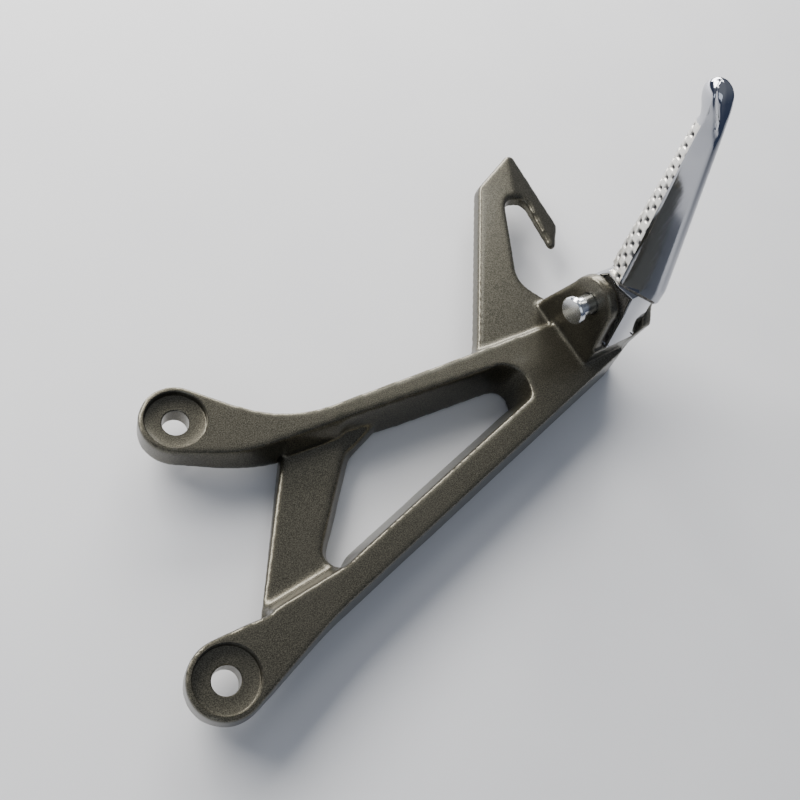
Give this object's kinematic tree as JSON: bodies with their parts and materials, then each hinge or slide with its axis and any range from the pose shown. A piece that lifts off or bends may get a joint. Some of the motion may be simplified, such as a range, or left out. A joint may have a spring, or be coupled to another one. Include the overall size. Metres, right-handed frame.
{
  "type": "folding motorcycle passenger foot peg with bracket",
  "caption": "Cast bracket with bolt lugs, a hook and a clevis that carries a folding polished foot peg on a hinge pin with a sprung detent ball.",
  "frame": {"origin": "midway between the two bolt holes, on the lugs' mounting faces", "axes": "+Y from the lower bolt hole to the upper one, +X from the bolt holes towards the clevis, +Z away from the motorcycle, along the bolt holes' axes"},
  "size_m": [0.1955, 0.203, 0.1316],
  "materials": {
    "bracket_paint": "dark charcoal metallic paint, semi-gloss, over cast aluminium",
    "polished_aluminium": "mirror polished cast aluminium",
    "zinc_plate": "bright zinc plate",
    "spring_steel": "dark oiled spring steel",
    "bearing_steel": "ground bearing steel",
    "hardened_plate": "hardened and ground steel sheet"
  },
  "bodies": {
    "bracket": {"bracket": "bracket_paint", "click_plate": "hardened_plate"},
    "peg": {"foot_peg": "polished_aluminium", "detent_spring": "spring_steel"},
    "pin": {"hinge_pin": "zinc_plate", "pin_washer": "zinc_plate", "retaining_clip": "spring_steel"},
    "ball": {"detent_ball": "bearing_steel"}
  },
  "joints": [
    {"name": "peg_fold", "type": "hinge", "parent": "bracket", "child": "peg", "pos_m": [0.1529, 0.0564, 0.0335], "axis": [-0.9613, -0.2756, 0], "range_deg": [0, 80]},
    {"name": "pin_float", "type": "slide", "parent": "bracket", "child": "pin", "axis": [0.9613, 0.2756, 0], "range_m": [0, 0.0073]},
    {"name": "ball_press", "type": "slide", "parent": "peg", "child": "ball", "axis": [-0.9613, -0.2756, 0], "range_m": [0, 0.0006], "stiffness_N_per_m": 4000, "deforming": ["detent_spring"]}
  ]
}
